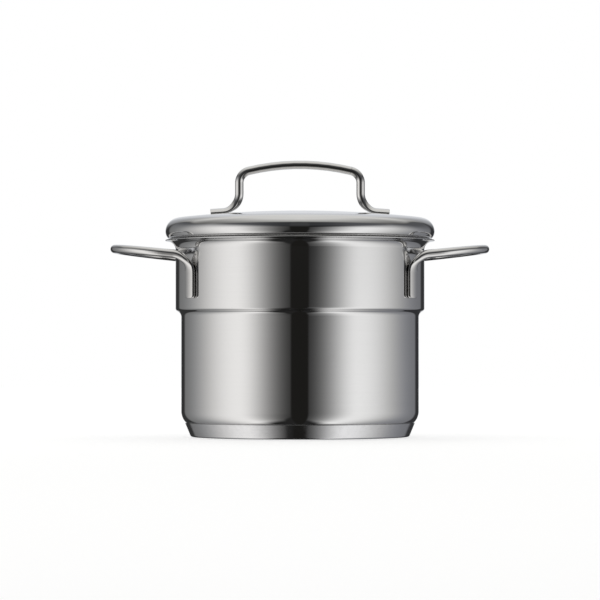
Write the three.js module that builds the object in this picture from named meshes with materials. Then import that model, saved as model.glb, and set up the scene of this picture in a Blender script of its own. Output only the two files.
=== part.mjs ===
// A small polished steel stockpot with a lift-off lid.
// Millimetres, +Z up. The origin is the centre of the flat face that the pot stands on.
// The two side handles lie along X, and so does the handle on the lid.
import * as THREE from 'three';

const degrees = THREE.MathUtils.degToRad;

// Vessel: one drawn sheet with a stacking step and a flared pouring rim
const MOUTH_DIAMETER = 140; // inside the upper wall
const VESSEL_SHEET = 0.7;
const POT_HEIGHT = 111.8; // floor to the top of the pouring rim
const RIM_OVERHANG = 5.8; // outside of the upper wall to the rim's tip
const RIM_BEND_RADIUS = 4.8; // under the rim
const RIM_FLARE = degrees(10); // how steeply the rim rises outwards
const STEP_DEPTH = 38.85; // top of the rim down to the top of the step
const STEP_INSET = 3.2; // lower wall in from the upper wall
const STEP_SLOPE = degrees(32); // from level
const STEP_UPPER_RADIUS = 1; // inside the sheet
const STEP_LOWER_RADIUS = 3.6; // outside the sheet
const BOTTOM_RADIUS = 9.3; // outside corner between the lower wall and the bottom

// Base: an aluminium disc closed in under the vessel by a steel cap
const CORE_THICKNESS = 4.8;
const CAP_SHEET = 0.5;
const CAP_RISE = 2.6; // cap's top edge above the vessel's underside
const CAP_SLOPE = degrees(22.5); // of the cap's side, from upright
const CAP_EDGE_RADIUS = 0.9; // inside the sheet
const CAP_GAP = 0.1; // cap's top edge to the vessel's corner
const CORE_GAP = 0.3; // core's side to the cap's side

// Lid: one spun sheet with a domed top, a rounded edge and a plug-in skirt
const LID_SHEET = 0.7;
const LID_SETBACK = 0.05; // lid's edge in from the rim's tip
const DOME_RADIUS = 620;
const SHOULDER_RADIUS = 7.65; // above the widest line of the edge
const CURL_RADIUS = 5.6; // below the widest line of the edge
const SKIRT_BEND_RADIUS = 2;
const SKIRT_LENGTH = 5;
const SKIRT_CLEARANCE = 0.8; // skirt to the inside of the mouth
const LID_SEAT_GAP = 0.3; // curl to the pouring rim

// Handles: round bar with its ends pressed for welding, flat behind and crowned in front
const ROUND_POWER = 2; // of the superellipse that draws the round section
const FLANK_POWER = 6; // of the one that draws the back and flanks of a pressed section
const CROWN_POWER = 2; // of the sine that draws its crown, 1 being round
const FLANK_FILL = 0.96; // share of its box that the back of a pressed section fills
const CROWN_FILL = 2 / 3; // share of its box that the crown fills
const WELD_THICKNESS = 0.2;
const WELD_CLEARANCE = 0.05; // weld to what lies on either side of it
const WELD_MARGIN = 1.2; // weld in from the edges of the pressed end
const WELD_CORNER_RADIUS = 1.4;

// Side handles: a sloping loop on two upright legs
const LOOP_BAR_DIAMETER = 4.75;
const LEG_BEARING = degrees(30.8); // leg's place round the wall, from the handle's middle
const LEG_ABOVE_STEP = 5.15; // leg's lower end above the top of the step
const LEG_FLANK = 2.15; // height of the pressed leg's flanks
const LEG_CROWN = 0.5; // crown's height above the flanks
const LEG_CROWN_LEAN = 0.2; // drop of the crown from the leg's middle to its outer edge
const LEG_BEND_RADIUS = 10.5;
const LEG_END_RADIUS = 2;
const LOOP_REACH = 36.9; // upper wall to the far side of the loop
const LOOP_DROP = 5.25; // top of the rim down to the middle of the loop's end
const LOOP_RISE = degrees(6); // how steeply the loop rises outwards
const LOOP_TAPER = degrees(11); // how much each side leans in
const LOOP_CORNER_RADIUS = 34;

// Lid handle: a bowed bar on two upright legs with feet turned outwards
const GRIP_BAR_DIAMETER = 4.8;
const GRIP_SPAN = 69; // between the middles of the legs
const GRIP_HEIGHT = 28.9; // top of the dome to the top of the bar
const GRIP_BOW = degrees(13.5); // slope of the bowed bar where it meets its corner bends
const GRIP_BEND_RADIUS = 7; // between the bowed bar and a leg
const FOOT_BEND_RADIUS = 9.8; // between a leg and its foot
const FOOT_LENGTH = 16.4; // middle of the leg to the foot's cut end
const FOOT_FLANK = 1; // height of the pressed foot's flanks
const FOOT_CROWN = 2.1; // crown's height above the flanks

// Facets
const ROUND_SEGMENTS = 48;
const BAR_SIDES = 16;
const BEND_STEP = degrees(14);
const BEND_LEAST_STEPS = 5;
const SMALL_ARC_STEPS = 3;
const LARGE_ARC_STEPS = 6;
const DOME_RINGS = 4;
const END_STEPS = 3;

// Sizes that follow from those above
const QUARTER = Math.PI / 2;
const HALF = Math.PI;
const mouthRadius = MOUTH_DIAMETER / 2;
const upperRadius = mouthRadius + VESSEL_SHEET;
const lowerRadius = upperRadius - STEP_INSET;
const rimRadius = upperRadius + RIM_OVERHANG;
const underside = CAP_SHEET + CORE_THICKNESS;
const capTop = underside + CAP_RISE;
const capEdgeRadius = CAP_EDGE_RADIUS + CAP_SHEET;
const stepUpperRadius = STEP_UPPER_RADIUS + VESSEL_SHEET;
const weldGap = WELD_THICKNESS + 2 * WELD_CLEARANCE;
const stepTop = POT_HEIGHT - STEP_DEPTH;
const legThickness = LEG_FLANK + LEG_CROWN;
const footThickness = FOOT_FLANK + FOOT_CROWN;

const polishedSteel = new THREE.MeshStandardMaterial({
  name: 'polished_steel', color: 0xcac9c7, roughness: 0.12, metalness: 1,
});
const barSteel = new THREE.MeshStandardMaterial({
  name: 'bar_steel', color: 0xc4c3c1, roughness: 0.18, metalness: 1,
});
const capSteel = new THREE.MeshStandardMaterial({
  name: 'cap_steel', color: 0xbdbcba, roughness: 0.2, metalness: 1,
});
const coreAluminium = new THREE.MeshStandardMaterial({
  name: 'core_aluminium', color: 0xd4d5d6, roughness: 0.45, metalness: 1,
});
const weldSteel = new THREE.MeshStandardMaterial({
  name: 'weld_steel', color: 0x8f8c88, roughness: 0.5, metalness: 1,
});

/** Points of [radius, height] on an arc, with both ends. */
function arc([radius, height], size, from, to, steps) {
  const points = [];
  for (let step = 0; step <= steps; step += 1) {
    const angle = from + ((to - from) * step) / steps;
    points.push([radius + size * Math.cos(angle), height + size * Math.sin(angle)]);
  }
  return points;
}

/** Turns a closed outline of [radius, height] points about +Z. */
function turned(outline) {
  const points = outline.map(([radius, height]) => new THREE.Vector2(radius, height));
  return new THREE.LatheGeometry(points, ROUND_SEGMENTS).rotateX(QUARTER);
}

/** A sheet turned about +Z, from its outer skin, its edge and its inner skin. */
function turnedSheet(skin, thickness, edge = []) {
  return turned([...skin(0), ...edge, ...skin(thickness).reverse()]);
}

/** Centre of the rim's bend, and of the small round that ends the rim. */
function rimCentres() {
  const middle = RIM_BEND_RADIUS + VESSEL_SHEET / 2;
  const tipRadius = VESSEL_SHEET / 2;
  const bendRadius = upperRadius + RIM_BEND_RADIUS;
  const flatLength = (rimRadius - tipRadius - bendRadius + middle * Math.sin(RIM_FLARE))
    / Math.cos(RIM_FLARE);
  const rise = middle * Math.cos(RIM_FLARE) + flatLength * Math.sin(RIM_FLARE);
  const tip = [rimRadius - tipRadius, POT_HEIGHT - tipRadius];
  return { bend: [bendRadius, tip[1] - rise], tip };
}

/** The vessel's skin at a depth in from its outside, from the axis to the rim. */
function vesselSkin(depth) {
  const turn = QUARTER - STEP_SLOPE;
  const inwards = 1 - Math.cos(turn);
  const slopeWidth = STEP_INSET - (stepUpperRadius + STEP_LOWER_RADIUS) * inwards;
  const stepHeight = (stepUpperRadius + STEP_LOWER_RADIUS) * Math.sin(turn)
    + slopeWidth * Math.tan(STEP_SLOPE);
  const corner = [lowerRadius - BOTTOM_RADIUS, underside + BOTTOM_RADIUS];
  const stepLower = [lowerRadius + STEP_LOWER_RADIUS, stepTop - stepHeight];
  const stepUpper = [upperRadius - stepUpperRadius, stepTop];
  return [
    [0, underside + depth],
    ...arc(corner, BOTTOM_RADIUS - depth, -QUARTER, 0, LARGE_ARC_STEPS),
    ...arc(stepLower, STEP_LOWER_RADIUS + depth, HALF, HALF - turn, SMALL_ARC_STEPS),
    ...arc(stepUpper, stepUpperRadius - depth, -turn, 0, SMALL_ARC_STEPS),
    ...arc(rimCentres().bend, RIM_BEND_RADIUS + depth, HALF, QUARTER + RIM_FLARE, LARGE_ARC_STEPS),
  ];
}

function potBody() {
  const tipEdge = arc(
    rimCentres().tip, VESSEL_SHEET / 2, RIM_FLARE - QUARTER, RIM_FLARE + QUARTER, SMALL_ARC_STEPS,
  );
  return turnedSheet(vesselSkin, VESSEL_SHEET, tipEdge);
}

/** Radius of the outside of the vessel's bottom corner at a height. */
function cornerRadiusAt(height) {
  const above = underside + BOTTOM_RADIUS - height;
  return lowerRadius - BOTTOM_RADIUS + Math.sqrt(BOTTOM_RADIUS ** 2 - above ** 2);
}

/** Radius of the inside of the cap's sloping side at a height. */
function capInsideAt(height) {
  return cornerRadiusAt(capTop) + CAP_GAP - (capTop - height) * Math.tan(CAP_SLOPE);
}

/** The cap's skin at a depth in from its outside, from the axis to its top edge. */
function capSkin(depth) {
  const sideShift = (CAP_SHEET - depth) / Math.cos(CAP_SLOPE);
  const edgeInset = CAP_EDGE_RADIUS / Math.cos(CAP_SLOPE);
  const edge = [capInsideAt(capEdgeRadius) - edgeInset, capEdgeRadius];
  return [
    [0, depth],
    ...arc(edge, capEdgeRadius - depth, -QUARTER, -CAP_SLOPE, SMALL_ARC_STEPS),
    [capInsideAt(capTop) + sideShift, capTop],
  ];
}

function baseCap() {
  return turnedSheet(capSkin, CAP_SHEET);
}

function baseCore() {
  const sideGap = CORE_GAP / Math.cos(CAP_SLOPE);
  const chamferTop = capInsideAt(capEdgeRadius) - sideGap;
  return turned([
    [0, CAP_SHEET],
    [chamferTop - CAP_EDGE_RADIUS, CAP_SHEET],
    [chamferTop, capEdgeRadius],
    [capInsideAt(underside) - sideGap, underside],
    [0, underside],
  ]);
}

/** Places of the lid's arcs: it hangs by its curl on the bend of the pouring rim. */
function lidLayout() {
  const lidRadius = rimRadius - LID_SETBACK;
  const rimBend = rimCentres().bend;
  const curlRadius = lidRadius - CURL_RADIUS;
  const apart = CURL_RADIUS + RIM_BEND_RADIUS + VESSEL_SHEET + LID_SEAT_GAP;
  const edgeHeight = rimBend[1] + Math.sqrt(apart ** 2 - (rimBend[0] - curlRadius) ** 2);
  const shoulder = [lidRadius - SHOULDER_RADIUS, edgeHeight];
  const domeTilt = Math.asin(shoulder[0] / (DOME_RADIUS - SHOULDER_RADIUS));
  const domeCentre = edgeHeight - (DOME_RADIUS - SHOULDER_RADIUS) * Math.cos(domeTilt);
  const skirtRadius = mouthRadius - SKIRT_CLEARANCE;
  const bendRadius = skirtRadius + SKIRT_BEND_RADIUS;
  const bendApart = CURL_RADIUS + SKIRT_BEND_RADIUS;
  const bendTilt = Math.asin((bendRadius - curlRadius) / bendApart);
  const bendHeight = edgeHeight - bendApart * Math.cos(bendTilt);
  return {
    curl: [curlRadius, edgeHeight],
    shoulder,
    domeTilt,
    domeCentre,
    skirtRadius,
    skirtBend: [bendRadius, bendHeight],
    bendTilt,
    skirtEnd: bendHeight - SKIRT_LENGTH,
  };
}

/** The lid's skin at a depth in from its outside, from the axis to the skirt's end. */
function lidSkin(depth) {
  const lid = lidLayout();
  const domeStart = QUARTER - lid.domeTilt;
  return [
    ...arc([0, lid.domeCentre], DOME_RADIUS - depth, QUARTER, domeStart, DOME_RINGS).slice(0, -1),
    ...arc(lid.shoulder, SHOULDER_RADIUS - depth, domeStart, 0, LARGE_ARC_STEPS).slice(0, -1),
    ...arc(lid.curl, CURL_RADIUS - depth, 0, lid.bendTilt - QUARTER, LARGE_ARC_STEPS),
    ...arc(
      lid.skirtBend, SKIRT_BEND_RADIUS + depth, QUARTER + lid.bendTilt, HALF, SMALL_ARC_STEPS,
    ).slice(1),
    [lid.skirtRadius - depth, lid.skirtEnd],
  ];
}

function lidShell() {
  return turned([...lidSkin(LID_SHEET), ...lidSkin(0).reverse()]);
}

/** Width of a round bar where it is pressed to a flank and a crown, at the same section area. */
function pressedWidth(diameter, flank, crown) {
  return (Math.PI * diameter ** 2) / (4 * (flank * FLANK_FILL + crown * CROWN_FILL));
}

/**
 * Samples a broken line with rounded corners, each with its place, heading and run.
 * A bend is limited by the straight stretches beside it.
 */
function roundedPath(corners) {
  const last = corners.length - 1;
  const headings = corners.slice(1).map(({ at }, index) => at.clone().sub(corners[index].at));
  const lengths = headings.map((heading) => heading.length());
  headings.forEach((heading) => heading.normalize());
  const turns = corners.map((_, index) => (
    index === 0 || index === last ? 0 : headings[index - 1].angleTo(headings[index])
  ));
  const wished = corners.map(({ radius = 0 }, index) => radius * Math.tan(turns[index] / 2));
  const room = (length, other) => Math.max(length - other, length / 2);
  const samples = [{ at: corners[0].at.clone(), heading: headings[0].clone() }];
  for (let index = 1; index < last; index += 1) {
    const before = headings[index - 1];
    const after = headings[index];
    const reach = Math.min(
      wished[index],
      room(lengths[index - 1], wished[index - 1]),
      room(lengths[index], wished[index + 1]),
    );
    const radius = reach / Math.tan(turns[index] / 2);
    const inwards = after.clone().addScaledVector(before, -after.dot(before)).normalize();
    const centre = corners[index].at.clone()
      .addScaledVector(before, -reach)
      .addScaledVector(inwards, radius);
    const steps = Math.max(BEND_LEAST_STEPS, Math.ceil(turns[index] / BEND_STEP));
    for (let step = 0; step <= steps; step += 1) {
      const angle = (turns[index] * step) / steps;
      samples.push({
        at: centre.clone()
          .addScaledVector(inwards, -radius * Math.cos(angle))
          .addScaledVector(before, radius * Math.sin(angle)),
        heading: before.clone().multiplyScalar(Math.cos(angle))
          .addScaledVector(inwards, Math.sin(angle)),
      });
    }
  }
  samples.push({ at: corners[last].at.clone(), heading: headings[last - 1].clone() });
  let run = 0;
  samples.forEach((sample, index) => {
    if (index > 0) run += sample.at.distanceTo(samples[index - 1].at);
    sample.run = run;
  });
  return samples;
}

/** Length of the straight stretch before a path's first bend. */
function straightEnd(path) {
  return path[1].run;
}

/** Adds samples near both ends of a path, where a pressed end is rounded off. */
function withRoundEnds(path, endRadius) {
  const first = path[0];
  const last = path[path.length - 1];
  const starts = [];
  const ends = [];
  for (let step = 1; step <= END_STEPS; step += 1) {
    const run = endRadius * (1 - Math.cos((QUARTER * step) / END_STEPS));
    starts.push({
      at: first.at.clone().addScaledVector(first.heading, run), heading: first.heading, run,
    });
    ends.unshift({
      at: last.at.clone().addScaledVector(last.heading, -run),
      heading: last.heading,
      run: last.run - run,
    });
  }
  return [first, ...starts, ...path.slice(1, -1), ...ends, last];
}

/** One closed skin through rings of points, with a flat fan at each end. */
function lofted(rings) {
  const sides = rings[0].length;
  const positions = [];
  const faces = [];
  rings.forEach((ring) => ring.forEach((point) => positions.push(point.x, point.y, point.z)));
  const addCentre = (ring) => {
    const centre = new THREE.Vector3();
    ring.forEach((point) => centre.addScaledVector(point, 1 / sides));
    positions.push(centre.x, centre.y, centre.z);
    return positions.length / 3 - 1;
  };
  const firstCentre = addCentre(rings[0]);
  const lastCentre = addCentre(rings[rings.length - 1]);
  const lastStart = (rings.length - 1) * sides;
  for (let side = 0; side < sides; side += 1) {
    const next = (side + 1) % sides;
    for (let start = 0; start < lastStart; start += sides) {
      const [a, b] = [start + side, start + next];
      faces.push(a, b, b + sides, a, b + sides, a + sides);
    }
    faces.push(firstCentre, next, side, lastCentre, lastStart + side, lastStart + next);
  }
  const geometry = new THREE.BufferGeometry();
  geometry.setAttribute('position', new THREE.Float32BufferAttribute(positions, 3));
  geometry.setIndex(faces);
  geometry.computeVertexNormals();
  return geometry;
}

/**
 * Round bar along a path, pressed over a length at both ends.
 * The facing gives the way that the crown of the section looks.
 */
function pressedBar(path, {
  diameter, flank, crown, lean, flatLength, easeLength, endRadius, facing,
}) {
  const { lerp, smoothstep } = THREE.MathUtils;
  const total = path[path.length - 1].run;
  const power = (value, exponent) => Math.sign(value) * Math.abs(value) ** exponent;
  const rings = path.map(({ at, heading, run }) => {
    const fromEnd = Math.min(run, total - run);
    const pressed = 1 - smoothstep(fromEnd, flatLength, flatLength + easeLength);
    const short = Math.max(0, endRadius - fromEnd);
    const trim = endRadius - Math.sqrt(endRadius ** 2 - short ** 2);
    const fullWidth = lerp(diameter, pressedWidth(diameter, flank, crown), pressed);
    const halfWidth = fullWidth / 2 - trim;
    const below = lerp(diameter / 2, flank, pressed);
    const above = lerp(diameter / 2, crown, pressed);
    const widest = (below - above) / 2;
    const belowExponent = 2 / lerp(ROUND_POWER, FLANK_POWER, pressed);
    const aboveExponent = lerp(1, CROWN_POWER, pressed);
    const thin = facing({ at, heading, pressed });
    thin.addScaledVector(heading, -thin.dot(heading)).normalize();
    const wide = thin.clone().cross(heading);
    return Array.from({ length: BAR_SIDES }, (_, side) => {
      const angle = (2 * Math.PI * (side + 0.5)) / BAR_SIDES;
      const sine = Math.sin(angle);
      const cosine = Math.cos(angle);
      const crowned = sine > 0;
      const across = crowned ? cosine : power(cosine, belowExponent);
      const up = crowned
        ? above * sine ** aboveExponent - lean * pressed * across
        : below * power(sine, belowExponent);
      return at.clone()
        .addScaledVector(wide, halfWidth * across)
        .addScaledVector(thin, widest + up);
    });
  });
  return lofted(rings);
}

/** Thin weld under a pressed end: its length lies along X, and its back at depth zero. */
function weldPad(length, width) {
  const halfLength = length / 2 - WELD_MARGIN;
  const halfWidth = width / 2 - WELD_MARGIN;
  const radius = Math.min(WELD_CORNER_RADIUS, halfLength, halfWidth);
  const outline = new THREE.Shape();
  outline.absarc(halfLength - radius, halfWidth - radius, radius, 0, QUARTER);
  outline.absarc(radius - halfLength, halfWidth - radius, radius, QUARTER, HALF);
  outline.absarc(radius - halfLength, radius - halfWidth, radius, HALF, HALF + QUARTER);
  outline.absarc(halfLength - radius, radius - halfWidth, radius, HALF + QUARTER, 2 * HALF);
  return new THREE.ExtrudeGeometry(outline, {
    depth: WELD_THICKNESS, bevelEnabled: false, curveSegments: SMALL_ARC_STEPS,
  });
}

/** Names a mesh for its piece. */
function piece(name, geometry, material) {
  const mesh = new THREE.Mesh(geometry, material);
  mesh.name = name;
  return mesh;
}

/** Places on a side handle that reaches out along +X. */
function sideHandleLayout() {
  const seatRadius = upperRadius + weldGap + legThickness / 2;
  const legX = seatRadius * Math.cos(LEG_BEARING);
  const legY = seatRadius * Math.sin(LEG_BEARING);
  const endX = upperRadius + LOOP_REACH - LOOP_BAR_DIAMETER / 2;
  const endZ = POT_HEIGHT - LOOP_DROP;
  const endY = legY - (endX - legX) * Math.tan(LOOP_TAPER);
  const bendZ = endZ - (endX - legX) * Math.tan(LOOP_RISE);
  return { legX, legY, legZ: stepTop + LEG_ABOVE_STEP, bendZ, endX, endY, endZ };
}

/** The middle line of a side handle, from the foot of one leg to the foot of the other. */
function sideHandlePath() {
  const { legX, legY, legZ, bendZ, endX, endY, endZ } = sideHandleLayout();
  return roundedPath([
    { at: new THREE.Vector3(legX, -legY, legZ) },
    { at: new THREE.Vector3(legX, -legY, bendZ), radius: LEG_BEND_RADIUS },
    { at: new THREE.Vector3(endX, -endY, endZ), radius: LOOP_CORNER_RADIUS },
    { at: new THREE.Vector3(endX, endY, endZ), radius: LOOP_CORNER_RADIUS },
    { at: new THREE.Vector3(legX, legY, bendZ), radius: LEG_BEND_RADIUS },
    { at: new THREE.Vector3(legX, legY, legZ) },
  ]);
}

function sideHandle() {
  const path = sideHandlePath();
  return pressedBar(withRoundEnds(path, LEG_END_RADIUS), {
    diameter: LOOP_BAR_DIAMETER,
    flank: LEG_FLANK,
    crown: LEG_CROWN,
    lean: LEG_CROWN_LEAN,
    flatLength: straightEnd(path),
    easeLength: LEG_BEND_RADIUS,
    endRadius: LEG_END_RADIUS,
    facing: ({ at, pressed }) => {
      const bearing = Math.sign(at.y) * LEG_BEARING;
      const outwards = new THREE.Vector3(Math.cos(bearing), Math.sin(bearing), 0);
      return outwards.lerp(new THREE.Vector3(0, 0, -1), 1 - pressed);
    },
  });
}

/** Weld between one leg of a side handle and the wall; the side is -1 or 1. */
function legWeld(name, side) {
  const bearing = side * LEG_BEARING;
  const width = pressedWidth(LOOP_BAR_DIAMETER, LEG_FLANK, LEG_CROWN);
  const length = straightEnd(sideHandlePath());
  const weld = piece(name, weldPad(length, width), weldSteel);
  const upright = new THREE.Vector3(0, 0, 1);
  const outwards = new THREE.Vector3(Math.cos(bearing), Math.sin(bearing), 0);
  const across = outwards.clone().cross(upright);
  weld.quaternion.setFromRotationMatrix(new THREE.Matrix4().makeBasis(upright, across, outwards));
  weld.quaternion.normalize();
  weld.position.copy(outwards).multiplyScalar(upperRadius + WELD_CLEARANCE);
  weld.position.z = sideHandleLayout().legZ + length / 2;
  return weld;
}

/** A side handle and its welds, reaching out along +X before its group is turned. */
function sideHandleSet(name, front, turn) {
  const group = new THREE.Group();
  group.add(piece(`${name}_handle`, sideHandle(), barSteel));
  group.add(legWeld(`${name}_handle_front_weld`, front));
  group.add(legWeld(`${name}_handle_rear_weld`, -front));
  group.rotation.z = turn;
  return group;
}

/** Places on the lid handle, in the plane of X and Z. */
function gripLayout() {
  const { domeCentre } = lidLayout();
  const legX = GRIP_SPAN / 2;
  const footX = legX + FOOT_LENGTH;
  const barTop = domeCentre + DOME_RADIUS + GRIP_HEIGHT - GRIP_BAR_DIAMETER / 2;
  const cornerReach = GRIP_BEND_RADIUS * Math.tan((QUARTER - GRIP_BOW) / 2);
  const bowRadius = (legX / Math.cos(GRIP_BOW) - cornerReach) / Math.tan(GRIP_BOW);
  const peak = barTop + bowRadius * (1 / Math.cos(GRIP_BOW) - 1);
  const corner = peak - legX * Math.tan(GRIP_BOW);
  const footTilt = Math.asin((legX + footX) / 2 / DOME_RADIUS);
  const seat = DOME_RADIUS + weldGap + footThickness / 2;
  const footAt = (x) => domeCentre + (seat - x * Math.sin(footTilt)) / Math.cos(footTilt);
  return { legX, footX, footAt, footTilt, bowRadius, peak, corner };
}

/** The middle line of the lid handle, from the end of one foot to the end of the other. */
function gripPath() {
  const { legX, footX, footAt, bowRadius, peak, corner } = gripLayout();
  const half = [
    { at: new THREE.Vector3(footX, 0, footAt(footX)) },
    { at: new THREE.Vector3(legX, 0, footAt(legX)), radius: FOOT_BEND_RADIUS },
    { at: new THREE.Vector3(legX, 0, corner), radius: GRIP_BEND_RADIUS },
  ];
  const otherHalf = half.map(({ at, radius }) => (
    { at: new THREE.Vector3(-at.x, 0, at.z), radius }
  ));
  return roundedPath([
    ...otherHalf,
    { at: new THREE.Vector3(0, 0, peak), radius: bowRadius },
    ...half.reverse(),
  ]);
}

function lidHandle() {
  const path = gripPath();
  return pressedBar(path, {
    diameter: GRIP_BAR_DIAMETER,
    flank: FOOT_FLANK,
    crown: FOOT_CROWN,
    lean: 0,
    flatLength: straightEnd(path),
    easeLength: FOOT_BEND_RADIUS,
    endRadius: 0,
    facing: ({ heading }) => new THREE.Vector3(-heading.z, 0, heading.x),
  });
}

/** Weld between one foot of the lid handle and the dome; the side is -1 or 1. */
function footWeld(name, side) {
  const { footX, footTilt } = gripLayout();
  const length = straightEnd(gripPath());
  const width = pressedWidth(GRIP_BAR_DIAMETER, FOOT_FLANK, FOOT_CROWN);
  const weld = piece(name, weldPad(length, width), weldSteel);
  const tilt = side * footTilt;
  const normal = new THREE.Vector3(Math.sin(tilt), 0, Math.cos(tilt));
  const along = new THREE.Vector3(Math.cos(tilt), 0, -Math.sin(tilt));
  const across = normal.clone().cross(along);
  weld.quaternion.setFromRotationMatrix(new THREE.Matrix4().makeBasis(along, across, normal));
  weld.quaternion.normalize();
  const middle = footX / Math.cos(footTilt) - length / 2;
  const alongOffset = middle - DOME_RADIUS * Math.tan(footTilt);
  weld.position.set(0, 0, lidLayout().domeCentre);
  weld.position.addScaledVector(normal, DOME_RADIUS + WELD_CLEARANCE);
  weld.position.addScaledVector(along, side * alongOffset);
  return weld;
}

const pot = new THREE.Group();
pot.add(piece('pot_body', potBody(), polishedSteel));
pot.add(piece('base_heat_spreader', baseCore(), coreAluminium));
pot.add(piece('base_capsule', baseCap(), capSteel));
pot.add(sideHandleSet('right', -1, 0));
pot.add(sideHandleSet('left', 1, HALF));

const lid = new THREE.Group();
lid.add(piece('lid_shell', lidShell(), polishedSteel));
lid.add(piece('lid_handle', lidHandle(), barSteel));
lid.add(footWeld('lid_handle_left_weld', -1));
lid.add(footWeld('lid_handle_right_weld', 1));

const stockpot = new THREE.Group();
stockpot.name = 'stockpot';
stockpot.add(pot, lid);

export default stockpot;
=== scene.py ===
"""A small polished steel stockpot with a lift-off lid, set up for a studio picture.

Sizes are in millimetres in the pot's classes and in metres in the meshes and the studio. +Z is up,
the pot stands on z = 0, and the viewer of the picture looks along +Y.
"""
import logging
import math
from dataclasses import dataclass
from enum import Enum
from typing import Callable, Iterable, NamedTuple, Sequence

import bpy
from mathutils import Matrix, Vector


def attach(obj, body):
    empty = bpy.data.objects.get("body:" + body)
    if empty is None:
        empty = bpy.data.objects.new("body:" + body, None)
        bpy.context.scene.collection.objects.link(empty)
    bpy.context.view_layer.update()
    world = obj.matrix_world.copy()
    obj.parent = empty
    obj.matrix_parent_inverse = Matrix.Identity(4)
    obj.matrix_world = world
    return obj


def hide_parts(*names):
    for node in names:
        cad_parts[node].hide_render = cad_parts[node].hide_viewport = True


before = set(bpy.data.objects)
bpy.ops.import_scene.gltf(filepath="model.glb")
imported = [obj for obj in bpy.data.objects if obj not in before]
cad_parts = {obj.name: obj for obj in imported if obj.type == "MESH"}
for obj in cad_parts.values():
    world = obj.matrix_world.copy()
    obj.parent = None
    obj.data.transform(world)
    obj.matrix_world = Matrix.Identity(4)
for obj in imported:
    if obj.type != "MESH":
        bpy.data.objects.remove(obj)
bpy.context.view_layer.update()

LOG = logging.getLogger("stockpot")

MM = 0.001
QUARTER = math.pi / 2
HALF = math.pi

TURN_SEGMENTS = 192
ARC_STEP = math.radians(4)
LEAST_ARC_STEPS = 5
DOME_RINGS = 40
BAR_SIDES = 64
EDGE_CROWDING = 0.85
BEND_STEP = math.radians(3)
BAR_SPACING = 0.8
END_STEPS = 6
AXIS_RADIUS = 1e-9

Pair = tuple[float, float]
Place = Pair
Triple = tuple[float, float, float]
Colour = Triple


class Body(Enum):
    """The two bodies that move against each other."""

    POT = "pot"
    LID = "lid"


class Slot(Enum):
    """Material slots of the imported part."""

    POLISHED = "polished_steel"
    BAR = "bar_steel"
    CAP = "cap_steel"
    CORE = "core_aluminium"
    WELD = "weld_steel"


class Side(Enum):
    """The side of the pot that a handle is on, as its direction along X."""

    RIGHT = 1
    LEFT = -1


class Lay(Enum):
    """How the fine polishing lines of a finish run."""

    AROUND = "around the axis"
    ALONG = "along the bar"


def smooth(value: float, start: float, end: float) -> float:
    """Eases from 0 to 1.

    Args:
        value: Where to look.
        start: Where the ease begins.
        end: Where the ease is complete.

    Returns:
        A share from 0 to 1 with level ends.
    """
    share = min(1.0, max(0.0, (value - start) / (end - start)))
    return share * share * (3 - 2 * share)


def mix(first: float, second: float, share: float) -> float:
    """Goes from the first value to the second by a share."""
    return first + (second - first) * share


def blend(first: Colour, second: Colour, share: float) -> Colour:
    """Goes from the first colour to the second by a share."""
    return tuple(mix(a, b, share) for a, b in zip(first, second))


def between(value: float, places: Sequence[float], levels: Sequence[float]) -> float:
    """Reads a broken line.

    Args:
        value: Where to look.
        places: Rising places of the line's corners.
        levels: Level at each corner.

    Returns:
        The level at the value, held at the first and last corner outside them.
    """
    if value <= places[0]:
        return levels[0]
    for index in range(1, len(places)):
        if value <= places[index]:
            share = (value - places[index - 1]) / (places[index] - places[index - 1])
            return mix(levels[index - 1], levels[index], share)
    return levels[-1]


def bell(offset: float, spread: float) -> float:
    """Height of a bell curve, 1 at its middle."""
    return math.exp(-0.5 * (offset / spread) ** 2)


def full_turn() -> list[float]:
    """Even bearings all the way round the axis."""
    return [2 * HALF * step / TURN_SEGMENTS for step in range(TURN_SEGMENTS)]


# Turned pieces


class ProfilePoint(NamedTuple):
    """A point of a turned outline, the way its surface looks, and its shares of edge and satin."""

    radius: float
    height: float
    out_radius: float
    out_height: float
    edge: float = 0.0
    satin: float = 0.0


def arc(
    centre: Place, size: float, start: float, end: float, hollow: bool = False, edge: float = 0.0
) -> list[ProfilePoint]:
    """Samples an arc of a turned outline, with both ends.

    Args:
        centre: Radius and height of the arc's centre.
        size: The arc's own radius.
        start: Angle of the first point, from the outward direction.
        end: Angle of the last point.
        hollow: True where the surface looks towards the centre.
        edge: How much of a worn edge the arc is, from 0 to 1.

    Returns:
        The points from start to end.
    """
    steps = max(LEAST_ARC_STEPS, math.ceil(abs(end - start) / ARC_STEP))
    facing = -1.0 if hollow else 1.0
    points = []
    for step in range(steps + 1):
        angle = mix(start, end, step / steps)
        across, up = math.cos(angle), math.sin(angle)
        points.append(ProfilePoint(
            centre[0] + size * across, centre[1] + size * up, facing * across, facing * up, edge
        ))
    return points


def turned_over(points: Iterable[ProfilePoint], satin: float) -> list[ProfilePoint]:
    """Reverses a skin, so that it becomes the other face of its sheet.

    Args:
        points: The skin, from the axis to its edge.
        satin: 1 where the face is turned to a satin, 0 where it is polished.

    Returns:
        The points from the edge to the axis, looking the other way.
    """
    return [
        ProfilePoint(p.radius, p.height, -p.out_radius, -p.out_height, p.edge, satin)
        for p in reversed(list(points))
    ]


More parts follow.
